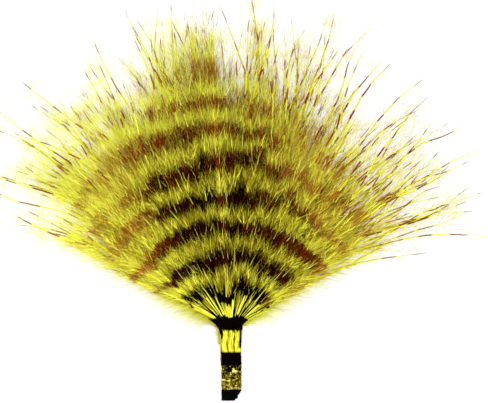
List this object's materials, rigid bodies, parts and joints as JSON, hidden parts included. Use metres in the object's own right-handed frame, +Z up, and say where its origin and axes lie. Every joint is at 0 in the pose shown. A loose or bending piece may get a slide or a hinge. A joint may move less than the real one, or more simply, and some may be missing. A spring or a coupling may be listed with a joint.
{
  "type": "bunch of barred marabou plumes",
  "caption": "Fan-shaped bunch of dyed, dark-barred marabou plumes lying flat, their quill ends gathered in a narrow stem and set in hardened glue",
  "frame": {"origin": "on the surface that the bunch lies on, under the middle of the fan, 40 mm in front of the neck where the plumes leave the stem", "axes": "+X across the fan to the right as seen from above, +Y from the glued butt towards the plume tips, +Z up off the surface"},
  "size_m": [0.1458, 0.1228, 0.0119],
  "materials": {
    "dyed_plume": "matte",
    "hardened_glue": "gloss"
  },
  "bodies": {
    "root": {"back_plume_1": "dyed_plume", "back_plume_2": "dyed_plume", "back_plume_3": "dyed_plume", "back_plume_4": "dyed_plume", "back_plume_5": "dyed_plume", "back_plume_6": "dyed_plume", "back_plume_7": "dyed_plume", "back_plume_8": "dyed_plume", "back_plume_9": "dyed_plume", "middle_plume_1": "dyed_plume", "middle_plume_2": "dyed_plume", "middle_plume_3": "dyed_plume", "middle_plume_4": "dyed_plume", "middle_plume_5": "dyed_plume", "middle_plume_6": "dyed_plume", "middle_plume_7": "dyed_plume", "middle_plume_8": "dyed_plume", "front_plume_1": "dyed_plume", "front_plume_2": "dyed_plume", "front_plume_3": "dyed_plume", "front_plume_4": "dyed_plume", "front_plume_5": "dyed_plume", "front_plume_6": "dyed_plume", "front_plume_7": "dyed_plume", "front_plume_8": "dyed_plume", "front_plume_9": "dyed_plume", "glued_butt": "hardened_glue"}
  },
  "joints": []
}
